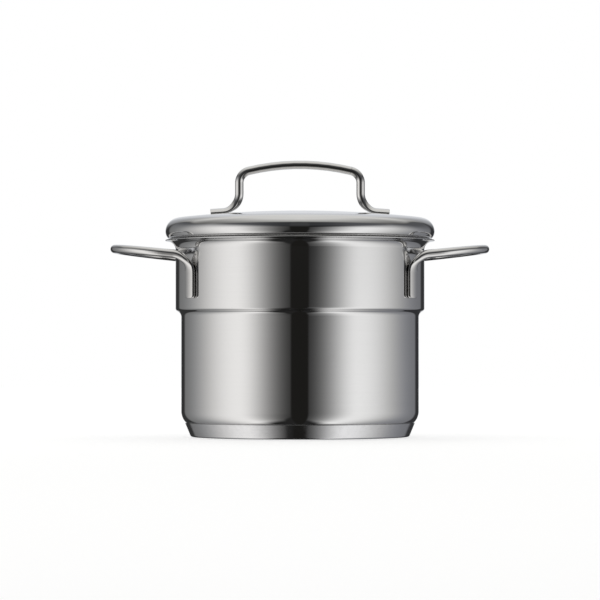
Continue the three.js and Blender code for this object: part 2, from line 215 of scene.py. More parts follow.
def turned(name: str, outline: Sequence[ProfilePoint]) -> bpy.types.Object:
    """Turns an outline about +Z into a closed skin with true normals.

    Args:
        name: The piece's name.
        outline: Points from the axis back to the axis, with the solid on their left.

    Returns:
        The new piece, in metres.
    """
    places: list[Triple] = []
    normals: list[Triple] = []
    edges: list[float] = []
    satins: list[float] = []
    faces: list[tuple[int, ...]] = []
    rings: list[list[int]] = []
    bearings = full_turn()
    for point in outline:
        on_axis = point.radius < AXIS_RADIUS
        ring = []
        for bearing in bearings[:1] if on_axis else bearings:
            across, along = math.cos(bearing), math.sin(bearing)
            ring.append(len(places))
            places.append((
                point.radius * across * MM, point.radius * along * MM, point.height * MM
            ))
            normals.append((point.out_radius * across, point.out_radius * along, point.out_height))
            edges.append(point.edge)
            satins.append(point.satin)
        rings.append(ring)
    for lower, upper in zip(rings, rings[1:]):
        for step in range(TURN_SEGMENTS):
            after = (step + 1) % TURN_SEGMENTS
            if len(lower) == 1:
                faces.append((lower[0], upper[after], upper[step]))
            elif len(upper) == 1:
                faces.append((lower[step], lower[after], upper[0]))
            else:
                faces.append((lower[step], lower[after], upper[after], upper[step]))
    mesh = bpy.data.meshes.new(name)
    mesh.from_pydata(places, [], faces)
    mesh.shade_smooth()
    mesh.normals_split_custom_set_from_vertices(normals)
    write_values(mesh, "edge", edges)
    write_values(mesh, "satin", satins)
    return linked(name, mesh)


def write_values(mesh: bpy.types.Mesh, name: str, values: Sequence[float]) -> None:
    """Keeps one number for each vertex of a mesh.

    Args:
        mesh: The mesh that gets the numbers.
        name: Name that materials read them by.
        values: One number for each vertex.
    """
    mesh.attributes.new(name, "FLOAT", "POINT").data.foreach_set("value", values)


def linked(name: str, mesh: bpy.types.Mesh) -> bpy.types.Object:
    """Puts a mesh into the scene as an object.

    Args:
        name: The object's name.
        mesh: Its mesh.

    Returns:
        The new object.
    """
    made = bpy.data.objects.new(name, mesh)
    bpy.context.scene.collection.objects.link(made)
    return made


# Bent bars


class Corner(NamedTuple):
    """A corner of a bent bar's middle line, with the radius of its bend."""

    at: Vector
    radius: float = 0.0


class PathPoint(NamedTuple):
    """A point on a bent bar's middle line, its heading and its distance from the first end."""

    at: Vector
    heading: Vector
    run: float


class BarEnd(NamedTuple):
    """How the ends of a bar are pressed and trimmed: flat behind and crowned in front."""

    flank: float
    crown: float
    lean: float
    flat_length: float
    ease_length: float
    corner_radius: float
    bevel: float


def bent_path(corners: Sequence[Corner]) -> tuple[list[PathPoint], float]:
    """Samples a broken line with rounded corners closely enough for a smooth bar.

    Args:
        corners: The corners, of which the first and last are the bar's ends.

    Returns:
        The points, and the length of the straight stretch before the first bend.
    """
    headings = [(b.at - a.at).normalized() for a, b in zip(corners, corners[1:])]
    marks: list[tuple[Vector, Vector]] = [(corners[0].at, headings[0])]
    for index in range(1, len(corners) - 1):
        before, after = headings[index - 1], headings[index]
        turn = before.angle(after)
        radius = corners[index].radius
        inwards = (after - before * after.dot(before)).normalized()
        centre = corners[index].at - before * radius * math.tan(turn / 2) + inwards * radius
        steps = max(LEAST_ARC_STEPS, math.ceil(turn / BEND_STEP))
        for step in range(steps + 1):
            angle = turn * step / steps
            across, along = math.cos(angle), math.sin(angle)
            marks.append((
                centre - inwards * radius * across + before * radius * along,
                before * across + inwards * along,
            ))
    marks.append((corners[-1].at, headings[-1]))
    points = [PathPoint(marks[0][0], marks[0][1], 0.0)]
    for (start, heading), (end, end_heading) in zip(marks, marks[1:]):
        length = (end - start).length
        steps = max(1, math.ceil(length / BAR_SPACING))
        run = points[-1].run
        for step in range(1, steps + 1):
            share = step / steps
            turned_heading = heading.lerp(end_heading, share).normalized()
            points.append(PathPoint(start.lerp(end, share), turned_heading, run + length * share))
    return points, (marks[1][0] - marks[0][0]).length


def with_fine_ends(path: Sequence[PathPoint], reaches: Sequence[float]) -> list[PathPoint]:
    """Adds points near both ends of a path, where the bar is rounded off.

    Args:
        path: The path of a bar with straight ends.
        reaches: How far in from each end the roundings reach.

    Returns:
        The path with close points over those reaches.
    """
    first, last = path[0], path[-1]
    runs = sorted({
        round(reach * (1 - math.cos(QUARTER * step / END_STEPS)), 6)
        for reach in reaches for step in range(END_STEPS + 1)
    })
    longest = max(reaches)
    starts = [PathPoint(first.at + first.heading * run, first.heading, run) for run in runs]
    ends = [
        PathPoint(last.at - last.heading * run, last.heading, last.run - run)
        for run in reversed(runs)
    ]
    middle = [p for p in path if longest < p.run < last.run - longest]
    return [*starts, *middle, *ends]


def rounded_off(reach: float, from_end: float) -> float:
    """How much a quarter round takes off at a distance from the end.

    Args:
        reach: The round's radius.
        from_end: Distance from the bar's end.

    Returns:
        The amount taken off each side.
    """
    short = max(0.0, reach - from_end)
    return reach - math.sqrt(max(0.0, reach * reach - short * short))


Facing = Callable[[PathPoint, float], Vector]


class Section(NamedTuple):
    """Half widths and shape of a bar's section: its back below and its crown above."""

    half_width: float
    below: float
    above: float
    back_power: float
    crown_power: float
    lean: float

    @staticmethod
    def angles() -> list[float]:
        """Angles of the sampled points, close together at the two edges of the crown.

        Returns:
            One angle for each side of the bar.
        """
        found = []
        for side in range(BAR_SIDES):
            share = (side + 0.5) / BAR_SIDES
            found.append(2 * HALF * share - EDGE_CROWDING / 2 * math.sin(4 * HALF * share))
        return found

    def points(self) -> list[Pair]:
        """Samples the outline.

        Returns:
            Pairs of coordinates across the bar and out of its crown.
        """
        found = []
        for angle in self.angles():
            sine, cosine = math.sin(angle), math.cos(angle)
            if sine > 0:
                across = cosine
                up = self.above * sine ** self.crown_power - self.lean * across
            else:
                across = math.copysign(abs(cosine) ** (2 / self.back_power), cosine)
                up = -self.below * (-sine) ** (2 / self.back_power)
            found.append((self.half_width * across, (self.below - self.above) / 2 + up))
        return found


@dataclass(frozen=True)
class PressedBar:
    """Round bar with both ends pressed for welding."""

    diameter: float
    round_power: float = 2.0
    flank_power: float = 6.0
    crown_power: float = 2.0
    flank_fill: float = 0.96
    crown_fill: float = 2 / 3

    def pressed_width(self, end: BarEnd) -> float:
        """Width of the bar where it is pressed, at the same section area."""
        height = end.flank * self.flank_fill + end.crown * self.crown_fill
        return HALF * self.diameter ** 2 / (4 * height)

    def section(self, end: BarEnd, from_end: float, pressed: float) -> Section:
        """The bar's section at a place.

        Args:
            end: How both ends are pressed and trimmed.
            from_end: Distance from the nearer end.
            pressed: How far the bar is pressed there, from 0 to 1.

        Returns:
            The section.
        """
        bevel = rounded_off(end.bevel, from_end)
        width = mix(self.diameter, self.pressed_width(end), pressed)
        return Section(
            half_width=width / 2 - bevel - rounded_off(end.corner_radius, from_end),
            below=mix(self.diameter / 2, end.flank, pressed) - bevel,
            above=mix(self.diameter / 2, end.crown, pressed) * (1 - bevel / (2 * end.bevel)),
            back_power=mix(self.round_power, self.flank_power, pressed),
            crown_power=mix(1.0, self.crown_power, pressed),
            lean=end.lean * pressed,
        )

    def build(
        self, name: str, path: Sequence[PathPoint], end: BarEnd, facing: Facing
    ) -> bpy.types.Object:
        """Sweeps the bar along its middle line.

        Args:
            name: The piece's name.
            path: The middle line, in millimetres.
            end: How both ends are pressed and trimmed.
            facing: Gives the way that the crown looks at a point, from its pressed share.

        Returns:
            The new piece, in metres.
        """
        places: list[Vector] = []
        edges: list[float] = []
        along: list[Triple] = []
        total = path[-1].run
        for point in path:
            from_end = min(point.run, total - point.run)
            pressed = 1 - smooth(from_end, end.flat_length, end.flat_length + end.ease_length)
            section = self.section(end, from_end, pressed)
            thin = facing(point, pressed)
            thin = (thin - point.heading * thin.dot(point.heading)).normalized()
            wide = thin.cross(point.heading)
            for angle, (w, t) in zip(section.angles(), section.points()):
                places.append((point.at + wide * w + thin * t) * MM)
                edges.append(1 - smooth(from_end, end.bevel, 2 * end.bevel))
                along.append((math.cos(angle), math.sin(angle), point.run))
        faces = self.skin(places, edges, along)
        mesh = bpy.data.meshes.new(name)
        mesh.from_pydata(places, [], faces)
        mesh.shade_smooth()
        write_values(mesh, "edge", edges)
        flat = [number for triple in along for number in triple]
        mesh.attributes.new("along", "FLOAT_VECTOR", "POINT").data.foreach_set("vector", flat)
        return linked(name, mesh)

    @staticmethod
    def skin(
        places: list[Vector], edges: list[float], along: list[Triple]
    ) -> list[tuple[int, ...]]:
        """Joins the rings of a bar and closes its ends.

        Args:
            places: Ring after ring of points; the two end centres are added.
            edges: Edge share of each point; the end centres are added.
            along: Place on the bar of each point; the end centres are added.

        Returns:
            The faces.
        """
        last = len(places) - BAR_SIDES
        faces: list[tuple[int, ...]] = []
        for side in range(BAR_SIDES):
            after = (side + 1) % BAR_SIDES
            for start in range(0, last, BAR_SIDES):
                nearer, farther = start, start + BAR_SIDES
                faces.append((nearer + side, nearer + after, farther + after, farther + side))
        for start, forwards in ((0, False), (last, True)):
            ring = places[start:start + BAR_SIDES]
            centre = len(places)
            places.append(sum(ring, Vector()) / BAR_SIDES)
            edges.append(0.0)
            along.append((0.0, 0.0, along[start][2]))
            for side in range(BAR_SIDES):
                pair = (start + side, start + (side + 1) % BAR_SIDES)
                faces.append((centre, *(pair if forwards else pair[::-1])))
        return faces


# Finishes

Socket = bpy.types.NodeSocket


class NodeSketch:
    """Places and links the shader nodes of one tree."""

    def __init__(self, tree: bpy.types.NodeTree) -> None:
        """Starts on a tree, keeping the nodes that it has."""
        self.tree = tree

    def add(self, kind: str, **settings: object) -> bpy.types.Node:
        """Adds a node.

        Args:
            kind: The node's type.
            **settings: Properties of the node.

        Returns:
            The new node.
        """
        node = self.tree.nodes.new(kind)
        for name, value in settings.items():
            setattr(node, name, value)
        return node

    def feed(self, into: Socket, value: Socket | float | Sequence[float]) -> None:
        """Links a socket, or sets its value.

        Args:
            into: The input that is fed.
            value: A socket to link, or a plain value.
        """
        if isinstance(value, Socket):
            self.tree.links.new(value, into)
        else:
            into.default_value = value

    def sum_up(self, operation: str, *values: Socket | float, clamp: bool = False) -> Socket:
        """Adds a math node.

        Args:
            operation: The node's operation.
            *values: Its inputs, in order.
            clamp: True to keep the result from 0 to 1.

        Returns:
            The result.
        """
        node = self.add("ShaderNodeMath", operation=operation, use_clamp=clamp)
        for into, value in zip(node.inputs, values):
            self.feed(into, value)
        return node.outputs[0]

    def noise(
        self, vector: Socket, scale: Socket | float, detail: float, distortion: float = 0.0
    ) -> Socket:
        """Adds a noise texture.

        Args:
            vector: Where it is read.
            scale: How fine it is.
            detail: How many finer layers it has.
            distortion: How much it is stirred.

        Returns:
            The noise, from 0 to 1.
        """
        node = self.add("ShaderNodeTexNoise")
        self.feed(node.inputs["Vector"], vector)
        self.feed(node.inputs["Scale"], scale)
        node.inputs["Detail"].default_value = detail
        node.inputs["Distortion"].default_value = distortion
        return node.outputs["Fac"]

    def spread(self, value: Socket, low: Socket | float, high: Socket | float) -> Socket:
        """Spreads the values between low and high over 0 to 1.

        Args:
            value: What is spread.
            low: Value that becomes 0.
            high: Value that becomes 1.

        Returns:
            The spread value, with eased ends.
        """
        node = self.add("ShaderNodeMapRange", interpolation_type="SMOOTHSTEP")
        self.feed(node.inputs["Value"], value)
        self.feed(node.inputs["From Min"], low)
        self.feed(node.inputs["From Max"], high)
        return node.outputs["Result"]

    def stretch(self, vector: Socket, amounts: Sequence[float], turn: float = 0.0) -> Socket:
        """Turns a vector about each axis and then scales it along each axis.

        Args:
            vector: What is stretched.
            amounts: Scale along each axis.
            turn: Angle of each turn.

        Returns:
            The stretched vector.
        """
        node = self.add("ShaderNodeMapping", vector_type="TEXTURE")
        self.feed(node.inputs["Vector"], vector)
        node.inputs["Rotation"].default_value = (turn, turn, turn)
        node.inputs["Scale"].default_value = [1 / amount for amount in amounts]
        return node.outputs["Vector"]

    def mix_colours(self, share: Socket, first: Colour, second: Colour) -> Socket:
        """Mixes two plain colours.

        Args:
            share: How much of the second.
            first: Colour at 0.
            second: Colour at 1.

        Returns:
            The mixed colour.
        """
        node = self.add("ShaderNodeMix", data_type="RGBA")
        self.feed(node.inputs["Factor"], share)
        node.inputs["A"].default_value = (*first, 1.0)
        node.inputs["B"].default_value = (*second, 1.0)
        return next(out for out in node.outputs if out.type == "RGBA")


class Effects:
    """Shader node groups for what several finishes share, each built once."""

    LEAST_RADIUS: float = 1e-5
    LINE_SCALE: float = 1.3
    LINE_DETAIL: float = 3.0
    LINE_RANGE: Pair = (0.32, 0.68)
    DRAWN_STRETCH: Triple = (1.0, 1.0, 0.02)
    HAZE_DETAIL: float = 4.0
    HAZE_STIR: float = 0.8
    HAZE_WIDTH: float = 0.3
    SCRATCH_LAYS: tuple[tuple[float, Triple], ...] = (
        (0.5, (1.0, 0.12, 0.4)), (1.9, (0.15, 1.0, 0.3))
    )
    SCRATCH_DETAIL: float = 1.0
    SCRATCH_STIR: float = 0.3
    SCRATCH_LEVEL: float = 0.5
    SCRATCH_WIDTH: float = 0.006
    PATCH_SCALE: float = 0.4
    PATCH_RANGE: Pair = (0.5, 0.7)
    WEAR_SCALE: float = 420.0
    WEAR_DETAIL: float = 2.0
    WEAR_RANGE: Pair = (0.3, 0.7)

    def __init__(self) -> None:
        """Builds the groups."""
        self.turned_lines = self.group("turned_lines", ("Density",), "Lines", self.draw_turned)
        self.drawn_lines = self.group("drawn_lines", ("Density",), "Lines", self.draw_drawn)
        self.hand_haze = self.group("hand_haze", ("Scale", "Start"), "Haze", self.draw_haze)
        self.hair_scratches = self.group(
            "hair_scratches", ("Scale",), "Scratches", self.draw_scratches
        )
        self.edge_wear = self.group("edge_wear", ("Edge",), "Wear", self.draw_wear)

    @staticmethod
    def group(
        name: str,
        values: Sequence[str],
        result: str,
        draw: Callable[[NodeSketch, bpy.types.Node], Socket],
    ) -> bpy.types.NodeTree:
        """Makes a group with a vector, some values and one result.

        Args:
            name: The group's name.
            values: Names of its number inputs.
            result: Name of its output.
            draw: Adds the inner nodes and gives the result.

        Returns:
            The new group.
        """
        tree = bpy.data.node_groups.new(name, "ShaderNodeTree")
        tree.interface.new_socket(name="Vector", in_out="INPUT", socket_type="NodeSocketVector")
        for value in values:
            tree.interface.new_socket(name=value, in_out="INPUT", socket_type="NodeSocketFloat")
        tree.interface.new_socket(name=result, in_out="OUTPUT", socket_type="NodeSocketFloat")
        sketch = NodeSketch(tree)
        entry = sketch.add("NodeGroupInput")
        leave = sketch.add("NodeGroupOutput")
        sketch.feed(leave.inputs[result], draw(sketch, entry))
        return tree

    def draw_turned(self, sketch: NodeSketch, entry: bpy.types.Node) -> Socket:
        """Fine lines round the Z axis.

        Args:
            sketch: The group's nodes.
            entry: The group's inputs.

        Returns:
            The lines, from 0 to 1.
        """
        parts = sketch.add("ShaderNodeSeparateXYZ")
        sketch.feed(parts.inputs[0], entry.outputs["Vector"])
        squares = [sketch.sum_up("MULTIPLY", parts.outputs[i], parts.outputs[i]) for i in (0, 1)]
        radius = sketch.sum_up("SQRT", sketch.sum_up("ADD", *squares))
        safe = sketch.sum_up("MAXIMUM", radius, self.LEAST_RADIUS)
        joined = sketch.add("ShaderNodeCombineXYZ")
        for index in (0, 1):
            sketch.feed(
                joined.inputs[index], sketch.sum_up("DIVIDE", parts.outputs[index], safe)
            )
        density = entry.outputs["Density"]
        sketch.feed(joined.inputs[2], sketch.sum_up("MULTIPLY", parts.outputs[2], density))
        node = sketch.add("ShaderNodeTexNoise", noise_dimensions="4D")
        sketch.feed(node.inputs["Vector"], joined.outputs[0])
        sketch.feed(node.inputs["W"], sketch.sum_up("MULTIPLY", radius, density))
        node.inputs["Scale"].default_value = self.LINE_SCALE
        node.inputs["Detail"].default_value = self.LINE_DETAIL
        return sketch.spread(node.outputs["Fac"], *self.LINE_RANGE)

    def draw_drawn(self, sketch: NodeSketch, entry: bpy.types.Node) -> Socket:
        """Fine lines along a bar, read from the place on its skin.

        Args:
            sketch: The group's nodes.
            entry: The group's inputs.

        Returns:
            The lines, from 0 to 1.
        """
        across = sketch.stretch(entry.outputs["Vector"], self.DRAWN_STRETCH)
        found = sketch.noise(across, entry.outputs["Density"], self.LINE_DETAIL)
        return sketch.spread(found, *self.LINE_RANGE)

    def draw_haze(self, sketch: NodeSketch, entry: bpy.types.Node) -> Socket:
        """Soft patches where hands and cloths have dulled the polish.

        Args:
            sketch: The group's nodes.
            entry: The group's inputs.

        Returns:
            The haze, from 0 to 1.
        """
        vector, scale, start = (entry.outputs[name] for name in ("Vector", "Scale", "Start"))
        found = sketch.noise(vector, scale, self.HAZE_DETAIL, self.HAZE_STIR)
        return sketch.spread(found, start, sketch.sum_up("ADD", start, self.HAZE_WIDTH))

    def draw_scratches(self, sketch: NodeSketch, entry: bpy.types.Node) -> Socket:
        """Sparse hair scratches in two crossing directions.

        Args:
            sketch: The group's nodes.
            entry: The group's inputs.

        Returns:
            The scratches, from 0 to 1.
        """
        layers = []
        scale = entry.outputs["Scale"]
        patch_scale = sketch.sum_up("MULTIPLY", scale, self.PATCH_SCALE)
        for turn, amounts in self.SCRATCH_LAYS:
            vector = sketch.stretch(entry.outputs["Vector"], amounts, turn)
            found = sketch.noise(vector, scale, self.SCRATCH_DETAIL, self.SCRATCH_STIR)
            offset = sketch.sum_up("SUBTRACT", found, self.SCRATCH_LEVEL)
            apart = sketch.spread(sketch.sum_up("ABSOLUTE", offset), 0.0, self.SCRATCH_WIDTH)
            line = sketch.sum_up("SUBTRACT", 1.0, apart)
            patch = sketch.noise(vector, patch_scale, self.SCRATCH_DETAIL)
            layers.append(
                sketch.sum_up("MULTIPLY", line, sketch.spread(patch, *self.PATCH_RANGE))
            )
        return sketch.sum_up("MAXIMUM", *layers)

    def draw_wear(self, sketch: NodeSketch, entry: bpy.types.Node) -> Socket:
        """Uneven wear where a piece has an edge.

        Args:
            sketch: The group's nodes.
            entry: The group's inputs.

        Returns:
            The wear, from 0 to 1.
        """
        found = sketch.noise(entry.outputs["Vector"], self.WEAR_SCALE, self.WEAR_DETAIL)
        uneven = sketch.spread(found, *self.WEAR_RANGE)
        return sketch.sum_up("MULTIPLY", entry.outputs["Edge"], uneven)


@dataclass(frozen=True)
class SteelFinish:
    """Polished or turned metal with fine lines, haze, hair scratches and worn edges.

    Depths are in millimetres. The dulling and roughening say how much of each effect goes into the
    colour and the roughness, and the satin values hold where a piece's satin share is 1.
    """

    slot: Slot
    bright: Colour
    dull: Colour
    smoothest: float
    roughest: float
    lay: Lay
    line_density: float
    line_depth: float
    haze_start: float = 0.52
    haze_scale: float = 24.0
    scratch_scale: float = 55.0
    scratch_share: float = -0.4
    wave_depth: float = 0.0
    wave_scale: float = 28.0
    wave_detail: float = 1.0
    satin_roughness: float = 0.0
    satin_density: float = 1.0
    satin_depth: float = 0.0
    line_dulling: float = 0.35
    satin_dulling: float = 1.0
    haze_dulling: float = 0.45
    wear_dulling: float = 0.5
    line_roughening: float = 0.3
    haze_roughening: float = 0.4
    mark_roughening: float = 0.6

    @staticmethod
    def place(
        sketch: NodeSketch, tree: bpy.types.NodeTree, **inputs: Socket | float
    ) -> Socket:
        """Places a shared effect in the material.

        Args:
            sketch: The material's nodes.
            tree: The effect's group.
            **inputs: Its inputs by name.

        Returns:
            The effect's result.
        """
        node = sketch.add("ShaderNodeGroup")
        node.node_tree = tree
        for name, value in inputs.items():
            sketch.feed(node.inputs[name], value)
        return node.outputs[0]

    @staticmethod
    def weighted(sketch: NodeSketch, *pairs: tuple[Socket, Socket | float]) -> Socket:
        """Adds up effects by their weights.

        Args:
            sketch: The material's nodes.
            *pairs: Each effect with its weight.

        Returns:
            The sum, kept from 0 to 1.
        """
        total: Socket | float = 0.0
        for effect, weight in pairs[:-1]:
            total = sketch.sum_up("MULTIPLY_ADD", effect, weight, total)
        return sketch.sum_up("MULTIPLY_ADD", *pairs[-1], total, clamp=True)

    @staticmethod
    def by_satin(sketch: NodeSketch, satin: Socket, polished: float, satined: float) -> Socket:
        """Goes from a polished surface's value to that of a satin one."""
        return sketch.sum_up("MULTIPLY_ADD", satin, satined - polished, polished)

    def lines(
        self, sketch: NodeSketch, effects: Effects, where: Socket, satin: Socket
    ) -> Socket:
        """Draws the fine lines that the finish was made with.

        Args:
            sketch: The material's nodes.
            effects: The shared effects.
            where: Place on the pot.
            satin: How far the surface is satin.

        Returns:
            The lines, from 0 to 1.
        """
        if self.lay is Lay.ALONG:
            along = sketch.add("ShaderNodeAttribute", attribute_name="along").outputs["Vector"]
            return self.place(
                sketch, effects.drawn_lines, Vector=along, Density=self.line_density
            )
        density = self.by_satin(sketch, satin, self.line_density, self.satin_density)
        return self.place(sketch, effects.turned_lines, Vector=where, Density=density)

    def relief(
        self, sketch: NodeSketch, where: Socket, satin: Socket, lines: Socket, scratches: Socket
    ) -> Socket:
        """Raises the lines, sinks the scratches and lets the sheet wave a little.

        Args:
            sketch: The material's nodes.
            where: Place on the pot.
            satin: How far the surface is satin.
            lines: The fine lines.
            scratches: The hair scratches.

        Returns:
            The surface's height, in metres.
        """
        wave = sketch.noise(where, self.wave_scale, self.wave_detail)
        height = sketch.sum_up("MULTIPLY", wave, self.wave_depth * MM)
        scratch_depth = self.scratch_share * self.line_depth * MM
        height = sketch.sum_up("MULTIPLY_ADD", scratches, scratch_depth, height)
        depth = self.by_satin(sketch, satin, self.line_depth * MM, self.satin_depth * MM)
        return sketch.sum_up("MULTIPLY_ADD", lines, depth, height)

    def material(self, effects: Effects) -> bpy.types.Material:
        """Makes the material.

        Args:
            effects: The shared effects.

        Returns:
            The new material, named for its slot.
        """
        made = bpy.data.materials.new(self.slot.value)
        made.use_nodes = True
        sketch = NodeSketch(made.node_tree)
        shader = made.node_tree.nodes["Principled BSDF"]
        shader.inputs["Metallic"].default_value = 1.0
        where = sketch.add("ShaderNodeTexCoord").outputs["Object"]
        edge, satin = (
            sketch.add("ShaderNodeAttribute", attribute_name=name).outputs["Fac"]
            for name in ("edge", "satin")
        )
        lines = self.lines(sketch, effects, where, satin)
        haze = self.place(
            sketch, effects.hand_haze, Vector=where, Scale=self.haze_scale, Start=self.haze_start
        )
        scratches = self.place(
            sketch, effects.hair_scratches, Vector=where, Scale=self.scratch_scale
        )
        wear = self.place(sketch, effects.edge_wear, Vector=where, Edge=edge)
        dulled = self.weighted(
            sketch,
            (lines, self.by_satin(sketch, satin, self.line_dulling, self.satin_dulling)),
            (haze, self.haze_dulling),
            (wear, self.wear_dulling),
        )
        colour = sketch.mix_colours(dulled, self.bright, self.dull)
        sketch.feed(shader.inputs["Base Color"], colour)
        roughened = self.weighted(
            sketch,
            (lines, self.line_roughening),
            (haze, self.haze_roughening),
            (sketch.sum_up("MAXIMUM", scratches, wear), self.mark_roughening),
        )
        rough = sketch.sum_up(
            "MULTIPLY_ADD", roughened, self.roughest - self.smoothest, self.smoothest
        )
        rough = sketch.sum_up("MULTIPLY_ADD", satin, self.satin_roughness, rough)
        sketch.feed(shader.inputs["Roughness"], rough)
        bump = sketch.add("ShaderNodeBump")
        bump.inputs["Distance"].default_value = 1.0
        height = self.relief(sketch, where, satin, lines, scratches)
        sketch.feed(bump.inputs["Height"], height)
        sketch.feed(shader.inputs["Normal"], bump.outputs["Normal"])
        return made


FINISHES = (
    SteelFinish(
        slot=Slot.POLISHED,
        bright=(0.748, 0.745, 0.745),
        dull=(0.713, 0.709, 0.708),
        smoothest=0.035,
        roughest=0.11,
        lay=Lay.AROUND,
        line_density=2600.0,
        line_depth=0.0004,
        wave_depth=0.006,
        satin_roughness=0.16,
        satin_density=1300.0,
        satin_depth=0.003,
    ),
    SteelFinish(
        slot=Slot.BAR,
        bright=(0.752, 0.744, 0.736),
        dull=(0.713, 0.704, 0.694),
        smoothest=0.05,
        roughest=0.15,
        lay=Lay.ALONG,
        line_density=5.0,
        line_depth=0.0012,
        scratch_scale=90.0,
    ),
    SteelFinish(
        slot=Slot.CAP,
        bright=(0.743, 0.741, 0.752),
        dull=(0.692, 0.689, 0.697),
        smoothest=0.05,
        roughest=0.19,
        lay=Lay.AROUND,
        line_density=3800.0,
        line_depth=0.0012,
        haze_start=0.48,
        satin_roughness=0.1,
        satin_density=800.0,
        satin_depth=0.012,
    ),
    SteelFinish(
        slot=Slot.CORE,
        bright=(0.85, 0.85, 0.86),
        dull=(0.74, 0.74, 0.75),
        smoothest=0.3,
        roughest=0.55,
        lay=Lay.AROUND,
        line_density=1500.0,
        line_depth=0.004,
    ),
    SteelFinish(
        slot=Slot.WELD,
        bright=(0.60, 0.58, 0.55),
        dull=(0.36, 0.31, 0.27),
        smoothest=0.35,
        roughest=0.6,
        lay=Lay.AROUND,
        line_density=900.0,
        line_depth=0.006,
        haze_start=0.4,
        haze_scale=260.0,
    ),
)


class Dresser:
    """Gives pieces their finish, their body and the nodes that they stand for."""

    def __init__(self) -> None:
        """Makes every finish once."""
        effects = Effects()
        self.materials = {finish.slot: finish.material(effects) for finish in FINISHES}

    def dress(self, piece: bpy.types.Object, node: str, body: Body, slot: Slot) -> None:
        """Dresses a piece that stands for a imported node.

        Args:
            piece: The piece.
            node: The node that it stands for.
            body: The body that it moves with.
            slot: Its material slot.
        """
        piece.data.materials.append(self.materials[slot])
        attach(piece, body.value)
        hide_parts(node)
        LOG.info("%s stands for %s on %s", piece.name, node, body.value)

    def dress_node(self, node: str, slot: Slot) -> None:
        """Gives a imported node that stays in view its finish.

        Args:
            node: The node.
            slot: Its material slot.
        """
        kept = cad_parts[node]
        for holder in kept.material_slots:
            holder.material = self.materials[slot]
        LOG.info("%s stays as packed", node)


# The pot


@dataclass(frozen=True)
class Vessel:
    """One drawn sheet with a stacking step and a flared pouring rim."""

    mouth_diameter: float = 140.0
    sheet: float = 0.7
    height: float = 111.8
    rim_overhang: float = 5.8
    rim_bend_radius: float = 4.8
    rim_flare: float = math.radians(10)
    step_depth: float = 38.85
    step_inset: float = 3.2
    step_slope: float = math.radians(32)
    step_upper_radius: float = 1.0
    step_lower_radius: float = 3.6
    bottom_radius: float = 9.3
    underside: float = 5.3

    @property
    def mouth_radius(self) -> float:
        """Radius inside the upper wall."""
        return self.mouth_diameter / 2

    @property
    def upper_radius(self) -> float:
        """Radius outside the upper wall."""
        return self.mouth_radius + self.sheet

    @property
    def lower_radius(self) -> float:
        """Radius outside the lower wall."""
        return self.upper_radius - self.step_inset

    @property
    def rim_radius(self) -> float:
        """Radius of the rim's tip."""
        return self.upper_radius + self.rim_overhang

    @property
    def step_top(self) -> float:
        """Height of the top of the step."""
        return self.height - self.step_depth

    def rim_centres(self) -> tuple[Place, Place]:
        """Places the rim's two rounds.

        Returns:
            Centre of the rim's bend, and of the small round that ends the rim.
        """
        middle = self.rim_bend_radius + self.sheet / 2
        tip_radius = self.sheet / 2
        bend_radius = self.upper_radius + self.rim_bend_radius
        flat = self.rim_radius - tip_radius - bend_radius + middle * math.sin(self.rim_flare)
        flat /= math.cos(self.rim_flare)
        rise = middle * math.cos(self.rim_flare) + flat * math.sin(self.rim_flare)
        tip = (self.rim_radius - tip_radius, self.height - tip_radius)
        return (bend_radius, tip[1] - rise), tip

    def skin(self, depth: float) -> list[ProfilePoint]:
        """The vessel's skin.

        Args:
            depth: How far in from the outside.

        Returns:
            The points from the axis to the rim.
        """
        turn = QUARTER - self.step_slope
        upper = self.step_upper_radius + self.sheet
        both = upper + self.step_lower_radius
        slope_width = self.step_inset - both * (1 - math.cos(turn))
        step_height = both * math.sin(turn) + slope_width * math.tan(self.step_slope)
        corner = (self.lower_radius - self.bottom_radius, self.underside + self.bottom_radius)
        lower_centre = (self.lower_radius + self.step_lower_radius, self.step_top - step_height)
        upper_centre = (self.upper_radius - upper, self.step_top)
        bend, _ = self.rim_centres()
        return [
            ProfilePoint(0.0, self.underside + depth, 0.0, -1.0),
            *arc(corner, self.bottom_radius - depth, -QUARTER, 0.0),
            *arc(lower_centre, self.step_lower_radius + depth, HALF, HALF - turn, hollow=True),
            *arc(upper_centre, upper - depth, -turn, 0.0),
            *arc(
                bend, self.rim_bend_radius + depth, HALF, QUARTER + self.rim_flare, hollow=True
            ),
        ]

    def corner_radius_at(self, height: float) -> float:
        """Reads the outside of the bottom corner.

        Args:
            height: Height above the table.

        Returns:
            The corner's radius there.
        """
        above = self.underside + self.bottom_radius - height
        across = math.sqrt(self.bottom_radius ** 2 - above ** 2)
        return self.lower_radius - self.bottom_radius + across

    def build(self) -> bpy.types.Object:
        """Builds the vessel's sheet.

        Returns:
            The new piece.
        """
        _, tip = self.rim_centres()
        flare = self.rim_flare
        rim_edge = arc(tip, self.sheet / 2, flare - QUARTER, flare + QUARTER, edge=1.0)
        outline = [*self.skin(0.0), *rim_edge, *turned_over(self.skin(self.sheet), 1.0)]
        return turned("vessel", outline)

    def dress(self, dresser: Dresser) -> None:
        """Builds the vessel and gives it its finish."""
        dresser.dress(self.build(), "pot_body", Body.POT, Slot.POLISHED)


